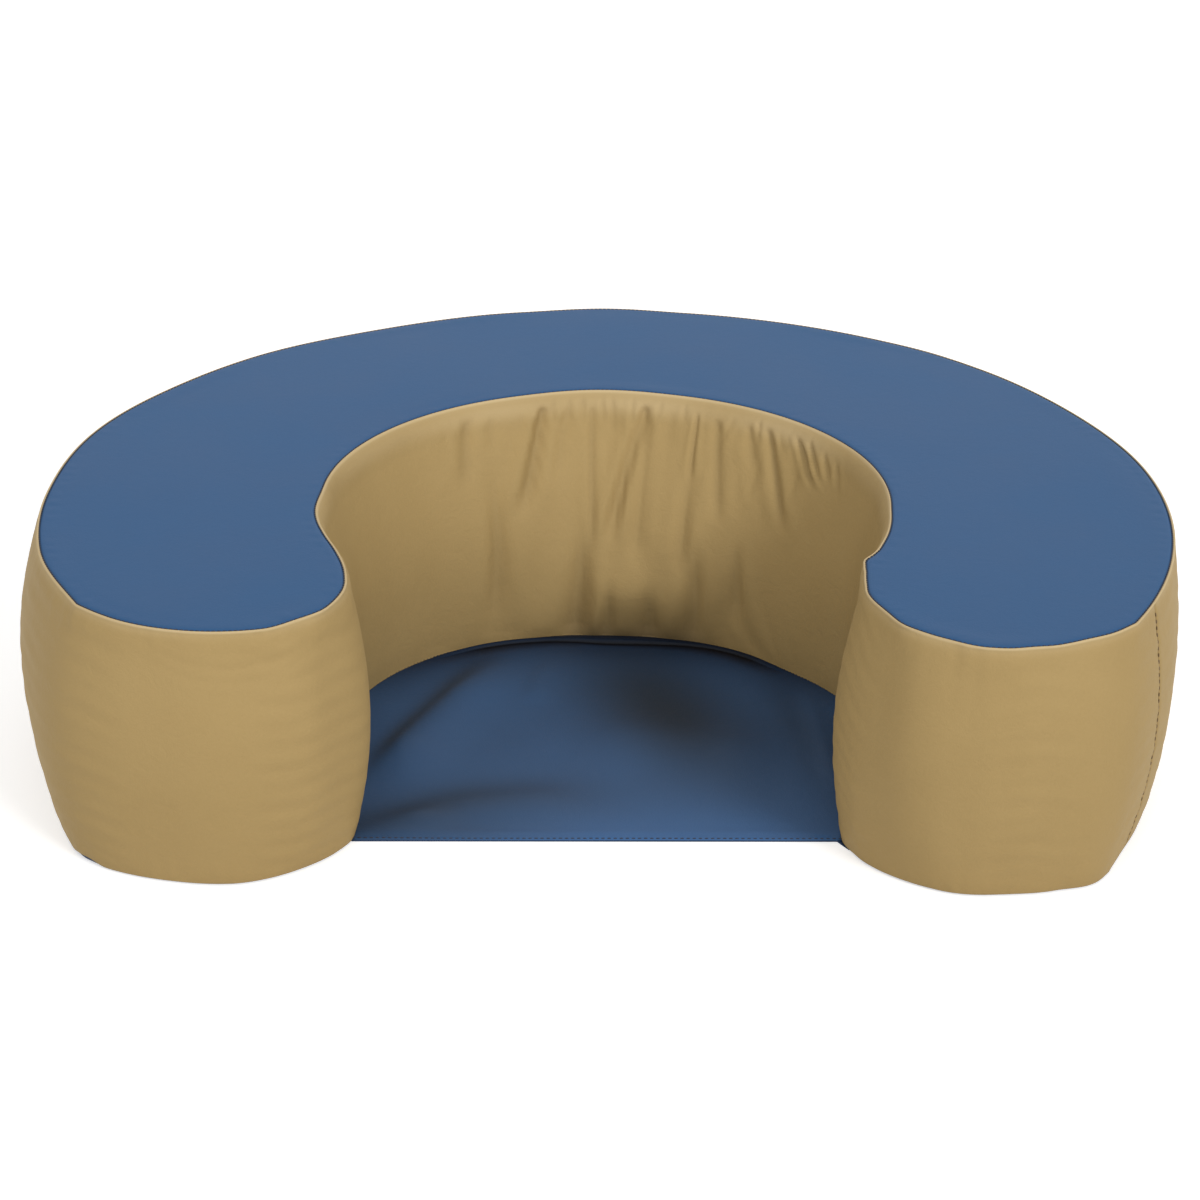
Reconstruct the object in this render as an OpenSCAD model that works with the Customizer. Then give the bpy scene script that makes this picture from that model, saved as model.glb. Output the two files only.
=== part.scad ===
// Baby floor seat: a C-shaped foam ring in a sewn vinyl cover, with a thin vinyl floor.
// Origin: the ring's centre, on the surface that the seat stands on. +Z up, -Y the open front.

/* [Ring] */
// Diameter of the top panel's outer seam
seam_d = 838; // [760:1:920]
// Diameter of the round part of the seat opening, at the top seam
opening_d = 428; // [400:1:450]
// Height of the ring
height = 198; // [170:1:230]
// How far the stuffed walls belly out beyond their seams
bulge = 16; // [10:0.5:22]
// How far the foot of the backrest stands in front of its top seam
lean = 64; // [20:1:72]

/* [Arms] */
// Clear width between the arm noses, at the top seam
mouth_w = 362; // [340:1:380]
// Distance from the round of the opening to the noses' circles
nose_gap = 25.2; // [16:0.2:40]
// Distance from the ring's centre forward to the arms' outer corners
corner_ahead = 211; // [200:1:222]
// Radius of the arm noses
nose_r = 65; // [60:1:72]
// Radius of the arms' front
front_r = 138; // [125:1:150]

/* [Cover] */
// Thickness of the coated vinyl
vinyl = 1; // [0.8:0.1:1.4]
// Slack between the cover and the foam
slack = 0.5; // [0.4:0.1:0.9]
// Direction of the closing seam, from +X towards +Y
closing_seam_a = -25; // [-26.5:0.5:-5]
// Distance from the ring's centre forward to the floor's hem
hem_ahead = 180; // [120:1:200]

/* [Zip] */
// Directions where the zip starts and ends, from +X towards +Y
zip_from = 30; // [20:1:40]
zip_to = 150; // [140:1:160]
// Width of the slot between the two zip bands
zip_slot = 14; // [13:0.5:18]
// Width and thickness of each tape
tape_w = 14; // [10:0.5:18]
tape_t = 0.6; // [0.4:0.1:0.7]
// Distance from one tooth to the next in a row
tooth_pitch = 4; // [3.6:0.1:6]
// Width of a tooth's head and of its neck, along the chain
tooth_head = 1.7; // [1.2:0.05:1.7]
tooth_neck = 1.1; // [0.6:0.05:1.1]
// Thickness of the teeth, through the chain
tooth_t = 2.4; // [1.8:0.1:2.8]
// Half of the closed chain's width
chain_half = 3.6; // [3:0.1:4]
// How far the teeth reach past the middle of the chain
tooth_past = 1.4; // [0.8:0.1:1.6]

/* [Slider] */
// Length of the slider along the chain
slider_l = 15; // [13:0.5:20]
// Thickness of the slider's plates and side flanges
slider_wall = 1.1; // [0.8:0.1:1.2]
// How far the slider's shoulders stand out past its tail, each side
shoulder = 1.2; // [0.6:0.1:1.4]
// Diameter of the pull's pin
pin_d = 1.8; // [1.4:0.1:2.2]
// Width of the lug that holds the pin
lug_w = 2.4; // [1.8:0.1:3]
// Length, width and thickness of the pull
pull_l = 30; // [22:1:40]
pull_w = 8; // [7:0.5:10]
pull_t = 1.4; // [1:0.1:2]
// Running gap between the slider and what slides through it
run_gap = 0.3; // [0.25:0.05:0.4]
// Radial clearance of the pin in its bore
pin_gap = 0.08; // [0.05:0.01:0.1]

/* [Hidden] */
$fn = 48;
little = 0.01;

// Steps of the loft: degrees on each kind of arc, steps on the straights and up the wall
outer_step = 4;
inner_step = 6;
front_step = 9;
nose_step = 12;
straight_steps = 3;
wall_steps = 8;

seam_r = seam_d / 2;
opening_r = opening_d / 2;
full_turn = 360;
half_turn = 180;

// The outline of the left arm is a chain of arcs. The front arc starts at the outer corner and
// runs into the nose arc, and a straight that touches the nose and the round opening joins them.
corner_a = half_turn + asin(corner_ahead / seam_r);
corner = seam_r * way(corner_a);
nose_aside = mouth_w / 2 + nose_r;
nose_ahead = sqrt(pow(opening_r + nose_gap + nose_r, 2) - pow(nose_aside, 2));
nose_c = [-nose_aside, -nose_ahead];
front_c = meet(nose_c, front_r - nose_r, corner, front_r);
front_a = heading(front_c, corner);
nose_a = heading(front_c, nose_c);
tangent_a = heading([0, 0], nose_c) - acos((opening_r + nose_r) / norm(nose_c));

// How sharply the backrest's lean fades towards the arms, and up the wall
lean_fade = 2.6;
lean_rise = 1.6;

wall_foot = vinyl;
wall_head = height - vinyl;

// The zip runs along the middle of the wall, where the belly is widest
zip_z = height / 2;
tape_reach = chain_half + tape_w;
chain_r = seam_r + belly(bulge, zip_z + tape_reach) - vinyl - slack - tape_t / 2;
tape_tuck = 1;
tooth_turn = chain_turn(tooth_pitch);
stop_l = 4;
slider_turn = chain_turn(slider_l);
stop_turn = chain_turn(stop_l);
gap_turn = chain_turn(run_gap);
// Order along the chain from its closed end: top stops, slider, teeth, bottom stop
top_stop_a = zip_from + stop_turn;
slider_a = top_stop_a + stop_turn / 2 + gap_turn + slider_turn / 2;
wedge_l = 4;
teeth_from = slider_a + chain_turn(wedge_l + run_gap + tooth_head - slider_l / 2);
bottom_stop_a = zip_to - stop_turn;
tooth_count = floor((bottom_stop_a - stop_turn - teeth_from) / tooth_turn);

// Slider heights, measured outwards from the middle of the chain
channel_half = tooth_t / 2 + run_gap;
tape_slot_half = tape_t / 2 + run_gap;
tail_half_w = chain_half + run_gap + slider_wall;
mouth_half_w = tail_half_w + shoulder;
plate_top = channel_half + slider_wall;
bore_r = pin_d / 2 + pin_gap;
lug_r = bore_r + 0.9;
cheek_r = pin_d / 2 + 0.7;
pin_height = plate_top + cheek_r + run_gap;
cheek_in = lug_w / 2 + run_gap;
tab_start = lug_r + run_gap + 0.4;
groove_r = chain_r - plate_top - slack;

// The angle that a length takes up along the chain
function chain_turn(length) = length / chain_r * half_turn / PI;
function heading(from, to) = (atan2(to.y - from.y, to.x - from.x) + full_turn) % full_turn;
// Where two circles meet, on the right of the way from the first centre to the second
function meet(c1, r1, c2, r2) =
    let (apart = norm(c2 - c1),
         along = (pow(r1, 2) - pow(r2, 2) + pow(apart, 2)) / (2 * apart),
         aside = sqrt(pow(r1, 2) - pow(along, 2)),
         ahead = (c2 - c1) / apart)
    c1 + along * ahead + aside * [ahead.y, -ahead.x];
function way(a) = [cos(a), sin(a)];
function belly(amount, z) = amount * sin(half_turn * z / height);
function mirrored(list) = [for (i = [len(list) - 1:-1:0])
    [[-list[i][0].x, list[i][0].y], [-list[i][1].x, list[i][1].y], list[i][2]]];

// A station is a point of the top seam, the wall's outward direction there, and its lean
function arc_run(centre, r, from, to, step) =
    let (n = max(1, ceil(abs(to - from) / step)))
    [for (i = [0:n])
        let (a = from + (to - from) * i / n)
        [centre + r * way(a), way(a), 0]];
function lean_at(a) = lean * pow((1 + sin(a)) / 2, lean_fade);
function opening_run(from, to) =
    let (n = ceil(abs(to - from) / inner_step))
    [for (i = [0:n])
        let (a = from + (to - from) * i / n)
        [opening_r * way(a), -way(a), lean_at(a)]];
function straight_run() =
    let (start = nose_c - nose_r * way(tangent_a),
         end = opening_r * way(tangent_a))
    [for (i = [1:straight_steps - 1])
        [start + (end - start) * i / straight_steps, -way(tangent_a),
         lean_at(tangent_a) * i / straight_steps]];
function without_last(list) = [for (i = [0:len(list) - 2]) list[i]];
function without_first(list) = [for (i = [1:len(list) - 1]) list[i]];

outer_left = without_last(arc_run([0, 0], seam_r, zip_to, corner_a, outer_step));
corner_left = [[corner, (way(corner_a) + way(front_a)) / norm(way(corner_a) + way(front_a)), 0]];
front_left = without_first(without_last(arc_run(front_c, front_r, front_a, nose_a, front_step)));
nose_left = arc_run(nose_c, nose_r, nose_a, tangent_a + half_turn, nose_step);
arm_left = concat(outer_left, corner_left, front_left, nose_left, straight_run());
inner_wall = opening_run(tangent_a, half_turn - tangent_a);
side_run = arc_run([0, 0], seam_r, closing_seam_a, zip_from, outer_step);
zip_run = arc_run([0, 0], seam_r, zip_from, zip_to, outer_step);
corner_run = arc_run([0, 0], seam_r, half_turn - corner_a, closing_seam_a, outer_step);
front_run = concat(arm_left, inner_wall, mirrored(straight_run()), mirrored(nose_left),
                   mirrored(front_left), mirrored(corner_left), without_first(corner_run));
loop = concat(without_last(side_run), without_last(zip_run), without_last(front_run));
opening_side = concat(nose_left, straight_run(), inner_wall, mirrored(straight_run()),
                      mirrored(nose_left));

// Triangles that fill the loop, on rungs from the outside of the ring across to its opening
opening_start = len(side_run) + len(zip_run) - 2 + len(outer_left) + len(corner_left)
                + len(front_left);
nose_tip = floor(len(nose_left) / 2);
right_tip = opening_start + len(opening_side) - 1 - nose_tip;
across = right_tip - opening_start - nose_tip;
around = len(loop) - across;
rungs = [for (t = [0:around])
    [(right_tip + t) % len(loop), right_tip - round(t * across / around)]];
ladder = [for (t = [0:around - 1])
    let (here = rungs[t], there = rungs[t + 1])
    each concat(there[0] == there[1] ? [] : [[here[0], there[0], there[1]]],
                here[1] == there[1] || t == 0 ? [] : [[here[0], there[1], here[1]]])];

function wall_offset(station, z) =
    belly(bulge, z) + station[2] * (1 - pow(z / height, lean_rise));
function wall_point(station, z, out) =
    let (p = station[0] + station[1] * (wall_offset(station, z) + out)) [p.x, p.y, z];
function plan_point(station, z, out) =
    station[0] + station[1] * (wall_offset(station, z) + out);
function levels(from, to, n) = [for (k = [0:n]) from + (to - from) * k / n];

// Two triangles for each cell of a grid of points, seen from the side that sideways = 1 names
function cell(a, b, c, d, flip) = flip ? [[a, c, b], [a, d, c]] : [[a, b, c], [a, c, d]];

// A sewn strip of vinyl along a run of stations
module strip(run, from, to, steps) {
    zs = levels(from, to, steps);
    rows = len(run);
    cols = len(zs);
    half = rows * cols;
    outside = [for (s = run) for (z = zs) wall_point(s, z, 0)];
    inside = [for (s = run) for (z = zs) wall_point(s, z, -vinyl)];
    skin = [for (side = [0, 1]) for (i = [0:rows - 2]) for (k = [0:cols - 2])
        let (a = side * half + i * cols + k)
        each cell(a, a + 1, a + cols + 1, a + cols, side == 1)];
    edges = [for (k = [0, cols - 1]) for (i = [0:rows - 2])
        let (a = i * cols + k)
        each cell(a, a + cols, a + cols + half, a + half, k != 0)];
    ends = [for (i = [0, rows - 1]) for (k = [0:cols - 2])
        let (a = i * cols + k)
        each cell(a, a + half, a + half + 1, a + 1, i != 0)];
    polyhedron(concat(outside, inside), concat(skin, edges, ends));
}

// A solid that fills the whole loop, inset from the outside of the cover
module filled_loop(from, to, inset) {
    zs = levels(from, to, wall_steps);
    rows = len(loop);
    cols = len(zs);
    points = [for (s = loop) for (z = zs) wall_point(s, z, -inset)];
    sides = [for (i = [0:rows - 1]) for (k = [0:cols - 2])
        let (a = i * cols + k, b = ((i + 1) % rows) * cols + k)
        each cell(a, a + 1, b + 1, b, false)];
    foot = [for (face = ladder) face * cols];
    head = [for (face = ladder) [face[0], face[2], face[1]] * cols + (cols - 1) * [1, 1, 1]];
    polyhedron(points, concat(sides, foot, head));
}

// A ring-shaped bar along the chain, from one direction to another
module chain_bar(from, to, r, size, z) {
    rotate([0, 0, from])
        rotate_extrude(angle = to - from, $fn = 180)
            translate([r - size.x / 2, z])
                square(size);
}

// Places a child on the chain: its x along the chain, its y up and its z outwards
module on_chain(a) {
    rotate([0, 0, a])
        translate([chain_r, 0, zip_z])
            rotate([90, 0, 90])
                children();
}

module foam_core() {
    color("ivory")
    difference() {
        filled_loop(wall_foot + slack, wall_head - slack, vinyl + slack);
        // The foam gives way behind the zip, so that the slider runs clear of it
        translate([0, 0, zip_z - tape_reach - slack])
            chain_bar(zip_from - 2 * tape_tuck, zip_to + 2 * tape_tuck,
                      groove_r + bulge, [2 * bulge, 2 * (tape_reach + slack)], 0);
    }
}

module top_panel() {
    color("steelblue")
    translate([0, 0, wall_head])
        linear_extrude(vinyl)
            polygon([for (s = loop) plan_point(s, height, 0)]);
}

module base_panel() {
    color("midnightblue")
    linear_extrude(vinyl)
        polygon([for (s = loop) plan_point(s, 0, 0)]);
}

module front_band() {
    color("tan")
    strip(front_run, wall_foot, wall_head, wall_steps);
}

module side_band() {
    color("tan")
    strip(side_run, wall_foot, wall_head, wall_steps);
}

module zip_band_upper() {
    color("tan")
    strip(zip_run, zip_z + zip_slot / 2, wall_head, wall_steps / 2);
}

module zip_band_lower() {
    color("tan")
    strip(zip_run, wall_foot, zip_z - zip_slot / 2, wall_steps / 2);
}

// One ply of the seat floor, sewn in along the foot of the inner wall and hemmed in front. Both
// plies are cut alike, clear of the wall at the top of the upper one.
module floor_ply() {
    linear_extrude(vinyl)
        intersection() {
            polygon([for (s = opening_side) plan_point(s, 2 * vinyl, run_gap)]);
            translate([-seam_r, -hem_ahead])
                square(seam_d);
        }
}

module floor_upper_ply() {
    color("steelblue")
    translate([0, 0, vinyl])
        floor_ply();
}

module floor_lower_ply() {
    color("midnightblue")
    floor_ply();
}

module tape() {
    chain_bar(zip_from - tape_tuck, zip_to + tape_tuck, chain_r, [tape_t, tape_w], chain_half);
}

module zip_tape_upper() {
    color("navajowhite")
    translate([0, 0, zip_z])
        tape();
}

module zip_tape_lower() {
    color("navajowhite")
    translate([0, 0, zip_z])
        mirror([0, 0, 1])
            tape();
}

// One tooth, clamped on the tape's edge, with a waist that its two neighbours lock into
module tooth() {
    head = tooth_head / 2;
    neck = tooth_neck / 2;
    linear_extrude(tooth_t, center = true)
        polygon([[-head, chain_half], [-neck, 0.5], [-head, -tooth_past / 2],
                 [-neck, -tooth_past], [neck, -tooth_past], [head, -tooth_past / 2],
                 [neck, 0.5], [head, chain_half]]);
}

module zip_teeth_upper() {
    color("burlywood")
    for (i = [0:tooth_count - 1])
        on_chain(teeth_from + i * tooth_turn)
            tooth();
}

module zip_teeth_lower() {
    color("burlywood")
    for (i = [0:tooth_count - 1])
        on_chain(teeth_from + (i + 0.5) * tooth_turn)
            mirror([0, 1, 0])
                tooth();
}

// A metal stop at the closed end of each tape
module zip_top_stops() {
    color("silver")
    on_chain(top_stop_a)
        for (side = [-1, 1])
            translate([0, side * (chain_half - tooth_t / 2), 0])
                cube([stop_l, tooth_t, tooth_t], center = true);
}

// The stop that joins both tapes at the open end
module zip_bottom_stop() {
    color("silver")
    on_chain(bottom_stop_a)
        cube([stop_l, 2 * chain_half, tooth_t], center = true);
}

// Outline of the slider: shoulders at its mouth, a narrower tail behind
module slider_outline(inset) {
    mouth = mouth_half_w - inset;
    tail = tail_half_w - inset;
    end = slider_l / 2;
    polygon([[-end, -mouth], [-end / 4, -mouth], [end / 4, -tail], [end, -tail],
             [end, tail], [end / 4, tail], [-end / 4, mouth], [-end, mouth]]);
}

// One plate of the slider with its two side flanges
module slider_plate() {
    translate([0, 0, channel_half])
        linear_extrude(slider_wall)
            slider_outline(0);
    translate([0, 0, tape_slot_half])
        linear_extrude(channel_half - tape_slot_half)
            difference() {
                slider_outline(0);
                slider_outline(slider_wall);
                // The channel is open at both ends
                for (side = [-1, 1])
                    translate([side * slider_l / 2, 0])
                        square([2 * slider_wall, 2 * (tail_half_w - slider_wall)], center = true);
                translate([-slider_l / 2, 0])
                    square([2 * slider_wall, 2 * (mouth_half_w - slider_wall)], center = true);
            }
}

module zip_slider() {
    wedge_w = 2.6;
    mouth = -slider_l / 2;
    color("silver")
    on_chain(slider_a)
        difference() {
            union() {
                slider_plate();
                mirror([0, 0, 1])
                    slider_plate();
                // The wedge that parts the teeth, and joins the two plates
                linear_extrude(2 * channel_half + little, center = true)
                    polygon([[mouth, 0], [mouth + wedge_l / 3, -wedge_w / 2], [mouth + wedge_l, 0],
                             [mouth + wedge_l / 3, wedge_w / 2]]);
                // The lug that holds the pull's pin
                translate([0, 0, pin_height])
                    rotate([90, 0, 0])
                        cylinder(r = lug_r, h = lug_w, center = true);
                translate([-lug_r, -lug_w / 2, plate_top - little])
                    cube([2 * lug_r, lug_w, pin_height - plate_top + little]);
            }
            translate([0, 0, pin_height])
                rotate([90, 0, 0])
                    cylinder(r = bore_r, h = 2 * lug_w, center = true);
        }
}

// The pull: a pin through the lug, a cheek on each side of it, and a flat tab with an eye
module zip_pull() {
    cheek_w = pull_w / 2 - cheek_in;
    tab_l = pull_l - tab_start;
    eye_r = pull_w / 4;
    color("silver")
    on_chain(slider_a)
        translate([0, 0, pin_height])
            difference() {
                union() {
                    rotate([90, 0, 0])
                        cylinder(d = pin_d, h = 2 * cheek_in + little, center = true);
                    for (side = [-1, 1])
                        translate([0, side * (cheek_in + cheek_w / 2), 0]) {
                            rotate([90, 0, 0])
                                cylinder(r = cheek_r, h = cheek_w, center = true);
                            translate([0, -cheek_w / 2, -pull_t / 2])
                                cube([tab_start + little, cheek_w, pull_t]);
                        }
                    translate([tab_start, -pull_w / 2, -pull_t / 2])
                        cube([tab_l - pull_w / 2, pull_w, pull_t]);
                    translate([pull_l - pull_w / 2, 0, 0])
                        cylinder(d = pull_w, h = pull_t, center = true);
                }
                translate([pull_l - pull_w / 2, 0, 0])
                    cylinder(r = eye_r, h = 2 * pull_t, center = true);
            }
}

foam_core();
top_panel();
base_panel();
front_band();
side_band();
zip_band_upper();
zip_band_lower();
floor_upper_ply();
floor_lower_ply();
zip_tape_upper();
zip_tape_lower();
zip_teeth_upper();
zip_teeth_lower();
zip_top_stops();
zip_bottom_stop();
zip_slider();
zip_pull();
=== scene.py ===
import math

import bmesh
import bpy
import numpy as np
from mathutils import Matrix, Vector
from mathutils.geometry import delaunay_2d_cdt
from numpy.linalg import norm


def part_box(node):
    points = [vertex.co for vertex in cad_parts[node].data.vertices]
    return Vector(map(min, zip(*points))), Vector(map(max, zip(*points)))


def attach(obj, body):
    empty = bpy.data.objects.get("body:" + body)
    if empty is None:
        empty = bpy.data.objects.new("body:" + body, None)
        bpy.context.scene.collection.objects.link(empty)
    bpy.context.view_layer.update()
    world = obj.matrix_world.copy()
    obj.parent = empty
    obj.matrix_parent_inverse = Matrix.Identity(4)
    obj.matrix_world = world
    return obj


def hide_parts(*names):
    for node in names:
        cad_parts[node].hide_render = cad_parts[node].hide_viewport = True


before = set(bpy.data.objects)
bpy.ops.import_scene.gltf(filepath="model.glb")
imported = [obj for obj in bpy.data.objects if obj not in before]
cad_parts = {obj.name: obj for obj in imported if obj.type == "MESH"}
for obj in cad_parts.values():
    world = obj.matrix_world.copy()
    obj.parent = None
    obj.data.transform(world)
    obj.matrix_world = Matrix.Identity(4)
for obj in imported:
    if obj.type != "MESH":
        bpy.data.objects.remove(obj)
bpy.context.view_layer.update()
SCENE = bpy.context.scene


def add_object(name, data):
    obj = bpy.data.objects.new(name, data)
    SCENE.collection.objects.link(obj)
    return obj


# ---- camera, in metres
FOCAL_MM, SENSOR_MM = 75.0, 36.0
YAW, ELEVATION, ROLL = (math.radians(a) for a in (1.06, 25.57, 0.41))
LOOK_AT = Vector((-0.0043, 0.0184, 0.0987))
DISTANCE, FAR_CLIP = 1.944, 30.0


def place_camera():
    flat = math.cos(ELEVATION)
    back = Vector((math.sin(YAW) * flat, -math.cos(YAW) * flat, math.sin(ELEVATION)))
    right = Vector((math.cos(YAW), math.sin(YAW), 0))
    up = back.cross(right)
    right, up = (
        math.cos(ROLL) * right + math.sin(ROLL) * up,
        -math.sin(ROLL) * right + math.cos(ROLL) * up,
    )
    data = bpy.data.cameras.new("photo_camera")
    data.lens = FOCAL_MM
    data.sensor_width = SENSOR_MM
    data.sensor_fit = "HORIZONTAL"
    data.clip_end = FAR_CLIP
    camera = add_object("photo_camera", data)
    turn = Matrix((right, up, back)).transposed().to_4x4()
    camera.matrix_world = Matrix.Translation(LOOK_AT + DISTANCE * back) @ turn
    SCENE.camera = camera


place_camera()

# ---- sizes, in mm as in the CAD
SEAM_R, OPENING_R, HEIGHT = 419.0, 214.0, 198.0
MOUTH_W, NOSE_R, NOSE_GAP, FRONT_R, CORNER_AHEAD = 362.0, 65.0, 25.2, 138.0, 211.0
BULGE, LEAN, LEAN_FADE, LEAN_RISE = 16.0, 64.0, 2.6, 1.6
CLOSING_A, ZIP_FROM_A, ZIP_TO_A = -25.0, 30.0, 150.0
ZIP_Z, ZIP_SLOT = HEIGHT / 2, 14.0
COVER_T, PLY_T, TAPE_T = 0.9, 0.8, 0.5  # thickness of the visible cover, floor plies and tapes
SPACING = 0.5  # between the outline's points


# ---- arithmetic
def way(degrees):
    a = math.radians(degrees)
    return np.array([math.cos(a), math.sin(a)])


def heading(start, end):
    return math.degrees(math.atan2(end[1] - start[1], end[0] - start[0])) % 360


def direction_of(p):
    """Direction of plan points from the ring's centre, in degrees from +X towards +Y."""
    return np.degrees(np.arctan2(p[..., 1], p[..., 0]))


def unit(v):
    return v / norm(v, axis=-1, keepdims=True)


def limited(x):
    """x, but no less than 0 and no more than 1."""
    return np.clip(x, 0, 1)


def ramp(x, start, end):
    """0 at start and 1 at end, straight between them and level beyond, in either direction."""
    return limited((x - start) / (end - start))


def window(x, low, high, fade):
    """1 between low and high, and down to 0 at them over the length fade."""
    return ramp(x, low, low + fade) * ramp(x, high, high - fade)


def eased(x):
    return x * x * (3 - 2 * x)


def bell(x, width):
    """A bell of height 1 at x = 0, and 1/e at width."""
    return np.exp(-((x / width) ** 2))


def steps(start, end, spacing):
    return np.linspace(start, end, max(2, int(round((end - start) / spacing)) + 1))


def smoothed(values, sigma):
    """Gaussian smoothing round the closed outline."""
    reach = int(6 * sigma)
    k = np.exp(-0.5 * (np.arange(-reach, reach + 1) * SPACING / sigma) ** 2)
    k /= k.sum()
    padded = np.concatenate([values[-reach:], values, values[:reach]])
    if values.ndim == 1:
        return np.convolve(padded, k, "valid")
    return np.column_stack([np.convolve(c, k, "valid") for c in padded.T])


# ---- the plan of the top seam
def lean_at(a):
    """How far the foot of the inner wall stands in front of its top seam."""
    return LEAN * ((1 + np.sin(a)) / 2) ** LEAN_FADE


def arc(centre, r, start, end, inward=False):
    """Points of an arc, their outward directions and their lean."""
    n = int(abs(math.radians(end - start)) * r / SPACING) + 1
    a = np.radians(np.linspace(start, end, n + 1))
    out = np.column_stack([np.cos(a), np.sin(a)])
    points = np.asarray(centre) + r * out
    return points, -out if inward else out, lean_at(a) if inward else np.zeros(n + 1)


def make_outline():
    """The seam's points from the closing seam round by the back, their outward directions and
    lean, and the number of points up to the end of each arc."""
    corner_a = 180 + math.degrees(math.asin(CORNER_AHEAD / SEAM_R))
    corner = SEAM_R * way(corner_a)
    aside = MOUTH_W / 2 + NOSE_R
    nose = np.array([-aside, -math.sqrt((OPENING_R + NOSE_GAP + NOSE_R) ** 2 - aside**2)])
    apart = norm(corner - nose)
    r1, r2 = FRONT_R - NOSE_R, FRONT_R
    along = (r1**2 - r2**2 + apart**2) / (2 * apart)
    ahead = (corner - nose) / apart
    across = np.array([ahead[1], -ahead[0]])
    front = nose + along * ahead + math.sqrt(r1**2 - along**2) * across
    reach = (OPENING_R + NOSE_R) / norm(nose)
    tangent_a = heading([0, 0], nose) - math.degrees(math.acos(reach))
    nose_a = heading(front, nose)
    start, end = nose - NOSE_R * way(tangent_a), OPENING_R * way(tangent_a)
    n = int(norm(end - start) / SPACING)
    f = np.linspace(0, 1, n + 1)[:, None]
    straight = (
        start + (end - start) * f,
        np.repeat([-way(tangent_a)], n + 1, axis=0),
        lean_at(math.radians(tangent_a)) * f[:, 0],
    )
    left = [
        arc([0, 0], SEAM_R, ZIP_TO_A, corner_a),
        arc(front, FRONT_R, heading(front, corner), nose_a),
        arc(nose, NOSE_R, nose_a, tangent_a + 180),
        straight,
        arc([0, 0], OPENING_R, tangent_a, 90, inward=True),
    ]
    flip = np.array([-1, 1])
    right = [(p[::-1] * flip, o[::-1] * flip, k[::-1]) for p, o, k in left[:0:-1]]
    runs = [
        arc([0, 0], SEAM_R, CLOSING_A, ZIP_FROM_A),
        arc([0, 0], SEAM_R, ZIP_FROM_A, ZIP_TO_A),
        *left,
        *right,
        arc([0, 0], SEAM_R, 180 - corner_a, CLOSING_A),
    ]
    points, outs, leans = (np.concatenate([run[i][:-1] for run in runs]) for i in range(3))
    return points, outs, leans, np.cumsum([len(run[0]) - 1 for run in runs])


PLAN, OUT, LEANS, ENDS = make_outline()
STEP = norm(np.roll(PLAN, -1, axis=0) - PLAN, axis=1)
RUN = np.concatenate([[0], np.cumsum(STEP)[:-1]])
ROUND = STEP.sum()
S_ZIP_FROM, S_ZIP_TO, S_CORNER_L, _, S_NOSE_L, S_OPEN_L, S_BACK = (RUN[i] for i in ENDS[:7])
S_OPEN_R, S_STRAIGHT_R, _, S_CORNER_R = (RUN[i] for i in ENDS[7:11])
AT_SEAM, AT_WALL = 2.5, 9.0  # smoothing of the outward directions
AROUND = direction_of(PLAN)
FACING = (OUT * unit(PLAN)).sum(1)
OUTER, INNER = FACING > 0.9, FACING < -0.9
INNER_SHARE = smoothed(INNER.astype(float), 20.0)

# The photographed ring isn't quite even: its foot inside on the right, and its bellies
LEANS = smoothed(LEANS, 8.0) + smoothed(np.where(INNER, 8.5 * bell(AROUND - 31, 17), 0), 12.0)
MORE_BELLY = 5.0 * bell(AROUND % 360 - 190, 24) - 4.5 * bell(AROUND + 8, 20)
BELLY = smoothed(BULGE + np.where(OUTER, MORE_BELLY, 0), 25.0)

# Where the stuffed cover strays from the drawn plan: run along it, half-length and outward shift
STRAY = [
    (370, 130, -2.2), (545, 60, 1.1), (850, 75, 4.6), (1062, 130, -4.4),
    (1385, 130, 3.2), (1725, 110, -6.6), (1815, 60, -1.8), (1893, 28, -3),
    (1984, 62, 5.2), (2076, 60, -5.2), (2455, 75, -3.4), (2868, 50, -3),
    (2927, 30, 5.4), (2921, 10, 1.2), (2951, 14, 1.2), (3012, 58, -10.4),
    (3046, 28, -1), (3064, 36, -5), (3118, 75, 5), (3129, 18, -1.4),
    (3188, 24, 1.5),
]
KINK = 40  # a stray of less half-length than this is a kink of the seam alone
# The same for the foot of the wall, and how far its bottom seam is drawn up
FOOT_STRAY = [
    (1700, 105, 8), (1890, 58, -6.3), (1950, 28, 3), (2970, 32, 6.2),
    (3048, 68, -8), (3122, 48, -3.2), (3190, 28, 4.5), (3240, 45, -1.5),
]
FOOT_LIFT = [(1725, 19, 3.4)]


def swells(s, table):
    """The sum of a table's smooth humps at the runs s, each nought beyond its half-length."""
    total = 0
    for mid, half, height in table:
        off = (np.asarray(s) - mid + ROUND / 2) % ROUND - ROUND / 2
        total = total + height * np.where(np.abs(off) < half, np.cos(off / half * math.pi / 2) ** 2, 0)
    return total


def foot_stray(s):
    """How much further out than the top seam the foot strays, besides its lean."""
    return swells(s, FOOT_STRAY) - swells(s, STRAY)


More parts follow.
